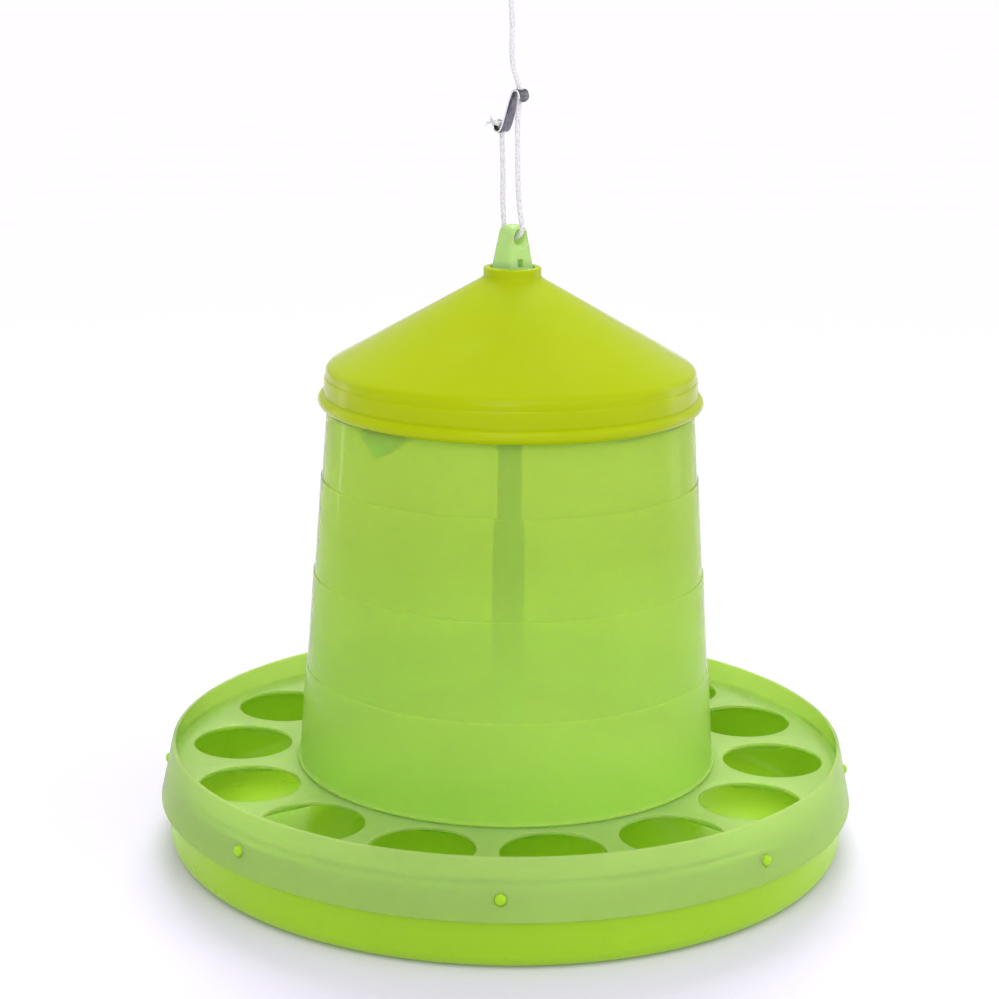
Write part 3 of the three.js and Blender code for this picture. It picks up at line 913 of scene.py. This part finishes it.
def bridge_seat(azimuth):
    """A pointed seat against the inside of the hopper's wall, for one end of the bridge."""
    top = BRIDGE_BOTTOM - GAP
    half = SEAT_HALF_WIDTH
    outline = [(-half, top), (-half, SEAT_CORNER), (0, SEAT_POINT), (half, SEAT_CORNER), (half, top)]
    outer = hopper_radius(SEAT_POINT)
    seat = prism("seat", outline, -outer, -(outer - SEAT_DEPTH), 0.4)
    seat.data.transform(Matrix.Rotation(math.radians(azimuth), 4, "Z"))
    inside = SHEET + 0.02
    core = turned("core", [
        (0, SEAT_POINT - 1),
        (hopper_radius(SEAT_POINT) - inside, SEAT_POINT - 1),
        (hopper_radius(NECK_BASE) - inside, NECK_BASE - SHEET - 1.1),
        (NECK_RADIUS - inside, NECK_BASE - SHEET - 0.1),
        (NECK_RADIUS - inside, top + 1),
        (0, top + 1),
    ])
    return combine(seat, "INTERSECT", core)


# ---- top bridge ----
def top_bridge():
    """A ribbed bar across the hopper's mouth, with a hub that steadies the post."""
    half = NECK_RADIUS - SHEET - 1.3
    bar = block("bridge_bar", BRIDGE_TURN, -half, half, BRIDGE_WIDTH, BRIDGE_BOTTOM, BRIDGE_TOP, 0.5)
    rib = block("rib", BRIDGE_TURN, -half + 12, half - 12, 2.4, BRIDGE_TOP - 0.5, BRIDGE_TOP + 5, 0.4)
    hub_bottom, hub_top = BRIDGE_BOTTOM - HUB_REACH, BRIDGE_TOP + HUB_REACH
    hub = turned("hub", rounded([
        (HUB_HOLE, hub_bottom, 0.5),
        (HUB_HOLE + 4, hub_bottom, 0.6),
        (HUB_HOLE + 3, hub_top, 0.6),
        (HUB_HOLE, hub_top, 0.5),
    ]), 96)
    room = HUB_HOLE + 2
    drill = turned("drill", [
        (0, BRIDGE_BOTTOM - 1),
        (room, BRIDGE_BOTTOM - 1),
        (room, hub_top + 1),
        (0, hub_top + 1),
    ], 96)
    combine(bar, "UNION", rib)
    combine(bar, "DIFFERENCE", drill)
    combine(bar, "UNION", hub)
    placed(bar, POST_PLASTIC, "translucent_plastic", BODY, "top_bridge")


# ---- hanging post ----
def hanging_post():
    """A hollow post from the stud under the pan up to the ear that the cord goes through."""
    guide = HUB_HOLE - 0.5
    collar = 11.15
    profile = rounded([
        (POST_BORE, POST_BOTTOM, 0.3),
        (STUD_RADIUS, POST_BOTTOM, 0.8),
        (STUD_RADIUS, CONE_TOP + GAP, 0.3),
        (POST_LOW_RADIUS, CONE_TOP + GAP, 0.5),
        (POST_LOW_RADIUS, POST_SHOULDER - 4, 1.5),
        (POST_RADIUS, POST_SHOULDER, 1.5),
        (POST_RADIUS, GUIDE_BOTTOM - 4, 1.5),
        (guide, GUIDE_BOTTOM, 0.8),
        (guide, GUIDE_TOP, 0.8),
        (POST_RADIUS, GUIDE_TOP + 4, 1.5),
        (POST_RADIUS, BORE_TOP - 10, 3),
        (collar, BORE_TOP + 2, 3),
        (collar, EAR_BASE + 1, 0.8),
        (0, EAR_BASE + 1),
        (0, BORE_TOP),
        (POST_BORE, BORE_TOP - 3, 0.8),
    ])
    post = turned("post_shaft", profile, 96)
    combine(post, "UNION", ear())
    recess = block("recess", 30, 5.5, 14, 4.2, EAR_BASE + 1.4, EAR_BASE + 6, 0.6)
    combine(post, "DIFFERENCE", eye_cutter(), recess)
    placed(post, POST_PLASTIC, "translucent_plastic", BODY, "hanging_post")


def eye_cutter():
    """The ear's eye, with a rounded edge at each mouth."""
    edge = 0.9
    mouth = 4.6
    wide = EYE_RADIUS + 3
    past = 20
    outline = [
        (0, -past),
        (wide, -past),
        (wide, -mouth - 4),
        *arc(EYE_RADIUS + edge, -mouth, edge, 250, 180, 5),
        *arc(EYE_RADIUS + edge, mouth, edge, 180, 110, 5),
        (wide, mouth + 4),
        (wide, past),
        (0, past),
    ]
    return spoke("eye", EYE_AZIMUTH, EYE_HEIGHT, outline, 40)


def ear():
    """A four-sided tower with soft corners and a rounded top; a corner faces the front."""
    rings = []
    rows, top_round = 16, 3.2
    foot_size, narrowing = 11.9, 5.0
    bottom = EAR_BASE - 2
    for row in range(rows + 1):
        share = row / rows
        height = bottom + (EAR_TOP - bottom) * share
        size = foot_size - narrowing * share
        into_top = max(0, height - (EAR_TOP - top_round)) / top_round
        size *= math.sqrt(max(0.0, 1 - into_top ** 2) * 0.8 + 0.2) if into_top else 1
        rings.append([around(size * squareness(a), a, height) for a in range(0, 360, 6)])
    return loft("ear", rings)


def squareness(azimuth):
    """How far a rounded square reaches at an azimuth, as a share of its corner's reach."""
    angle = math.radians(azimuth)
    power = 5
    spread = abs(math.cos(angle + math.pi / 4)) ** power + abs(math.sin(angle + math.pi / 4)) ** power
    corner = 2 * math.sqrt(0.5) ** power
    return (corner / spread) ** (1 / power)


# ---- post nut ----
def post_nut():
    """A nut with four wings, on the stud in the hollow under the pan's cone."""
    top = CONE_ROOF - GAP
    bottom = top - 9
    bore = STUD_RADIUS + 0.4
    nut = turned("nut_body", rounded([
        (bore, bottom, 0.6),
        (11.2, bottom, 0.8),
        (11.8, top, 0.5),
        (bore, top, 0.6),
    ]), 96)
    wings = [block("wing", 90 * i, 10, 19, 4, bottom, top - 5.5, 0.6) for i in range(4)]
    combine(nut, "UNION", together("wings", wings))
    placed(nut, PAN_PLASTIC, "pan_plastic", BODY, "post_nut")


# ---- lid ----
def lid():
    """A cone with a collar round the ear and a beaded edge over the hopper's neck."""
    bead_middle = LID_BOTTOM + BEAD_RADIUS
    catch = HOPPER_TOP + GAP
    seat_inner, seat_outer = NECK_RADIUS - 2.4, NECK_RADIUS - 0.2
    profile = rounded([
        (LID_RADIUS - SHEET + 0.2, LID_BOTTOM, 0.4),
        (LID_RADIUS - 0.6, LID_BOTTOM, 0.4),
        *arc(LID_RADIUS - 0.3, bead_middle, BEAD_RADIUS, -70, 80, 16),
        (LID_RADIUS + 0.15, bead_middle + BEAD_RADIUS + 0.4, 0.6),
        (LID_RADIUS - 0.1, SHOULDER - 7.2, 0.5),
        (LID_RADIUS - 0.8, SHOULDER - 6.4, 0.6),
        (LID_RADIUS - 1.0, SHOULDER - 1.2, 4.5),
        (COLLAR_RADIUS + 1.2, COLLAR_BASE - 0.6, 2.0),
        (COLLAR_RADIUS, COLLAR_BASE + 0.6, 0.8),
        (COLLAR_RADIUS, COLLAR_TOP, 1.2),
        (COLLAR_HOLE, COLLAR_TOP, 0.5),
        (COLLAR_HOLE, COLLAR_BASE - 1.6, 0.6),
        (seat_inner, SEAT_TOP, 0.8),
        (seat_inner, catch, 0.4),
        (seat_outer, catch, 0.4),
        (seat_outer, SEAT_TOP - 2, 0.6),
        (LID_RADIUS - SHEET - 0.2, SEAT_TOP - 6, 1.5),
    ])
    placed(turned("lid_shell", profile), LID_PLASTIC, "lid_plastic", LID, "lid")


# ---- light and floor ----
def area_light(name, place, target, width, height, power, colour=(1, 1, 1)):
    """A rectangular light that faces its target, in metres and watts."""
    data = bpy.data.lights.new(name, "AREA")
    data.shape = "RECTANGLE"
    data.size = width
    data.size_y = height
    data.energy = power
    data.color = colour
    item = bpy.data.objects.new(name, data)
    item.location = place
    item.rotation_euler = (Vector(target) - Vector(place)).to_track_quat("-Z", "Y").to_euler()
    bpy.context.scene.collection.objects.link(item)


def soft_sun(name, azimuth, elevation, width, strength):
    """An even light over the whole floor, as wide as a large softbox seen from the object."""
    data = bpy.data.lights.new(name, "SUN")
    data.energy = strength
    data.angle = math.radians(width)
    item = bpy.data.objects.new(name, data)
    away = around(math.cos(math.radians(elevation)), azimuth, math.sin(math.radians(elevation)))
    item.rotation_euler = away.to_track_quat("Z", "Y").to_euler()
    bpy.context.scene.collection.objects.link(item)


def surround():
    """A plain white surround."""
    scene = bpy.context.scene
    scene.view_settings.view_transform = "Standard"
    scene.cycles.use_denoising = True
    scene.world = bpy.data.worlds.new("surround")
    scene.world.use_nodes = True
    sky = scene.world.node_tree.nodes["Background"]
    sky.inputs["Color"].default_value = (1, 1, 1, 1)
    sky.inputs["Strength"].default_value = 0.58


def lights():
    """Three soft suns, a tall light behind each side, and a softbox in front."""
    soft_sun("front", azimuth=0, elevation=58, width=40, strength=0.9)
    soft_sun("back", azimuth=180, elevation=45, width=32, strength=2.0)
    soft_sun("right", azimuth=62, elevation=35, width=60, strength=0.6)
    middle, cool = (0, 0, 0.2), (0.95, 0.98, 1)
    area_light("rim_left", (-1.3, 0.75, 0.5), middle, width=0.12, height=1.2, power=1.5, colour=cool)
    area_light("rim_right", (1.3, 0.65, 0.5), middle, width=0.35, height=1.2, power=2, colour=cool)
    area_light("softbox", (-0.12, -1.5, 0.75), (0, 0, 0.26), width=0.45, height=0.45, power=4)


def stage_floor():
    """A wide pale floor."""
    mesh = bmesh.new()
    bmesh.ops.create_circle(mesh, cap_ends=True, segments=64, radius=20)
    data = bpy.data.meshes.new("floor")
    mesh.to_mesh(data)
    mesh.free()
    floor = bpy.data.objects.new("floor", data)
    bpy.context.scene.collection.objects.link(floor)
    data.materials.append(floor_material())


def floor_material():
    """Matt and pale from above, and clear from below."""
    material = bpy.data.materials.new("floor")
    material.use_nodes = True
    tree = material.node_tree
    shader = tree.nodes["Principled BSDF"]
    shader.inputs["Base Color"].default_value = (0.73, 0.69, 0.82, 1)
    shader.inputs["Emission Color"].default_value = (1, 1, 1, 1)
    shader.inputs["Emission Strength"].default_value = 0.03
    shader.inputs["Roughness"].default_value = 0.8
    shader.inputs["Specular IOR Level"].default_value = 0.0
    clear = tree.nodes.new("ShaderNodeBsdfTransparent")
    side = tree.nodes.new("ShaderNodeNewGeometry")
    mix = tree.nodes.new("ShaderNodeMixShader")
    tree.links.new(side.outputs["Backfacing"], mix.inputs[0])
    tree.links.new(shader.outputs[0], mix.inputs[1])
    tree.links.new(clear.outputs[0], mix.inputs[2])
    tree.links.new(mix.outputs[0], tree.nodes["Material Output"].inputs["Surface"])
    return material


camera()
cords()
cord_adjuster()
feed_pan()
feeding_grille()
hopper()
top_bridge()
hanging_post()
post_nut()
lid()
surround()
lights()
stage_floor()
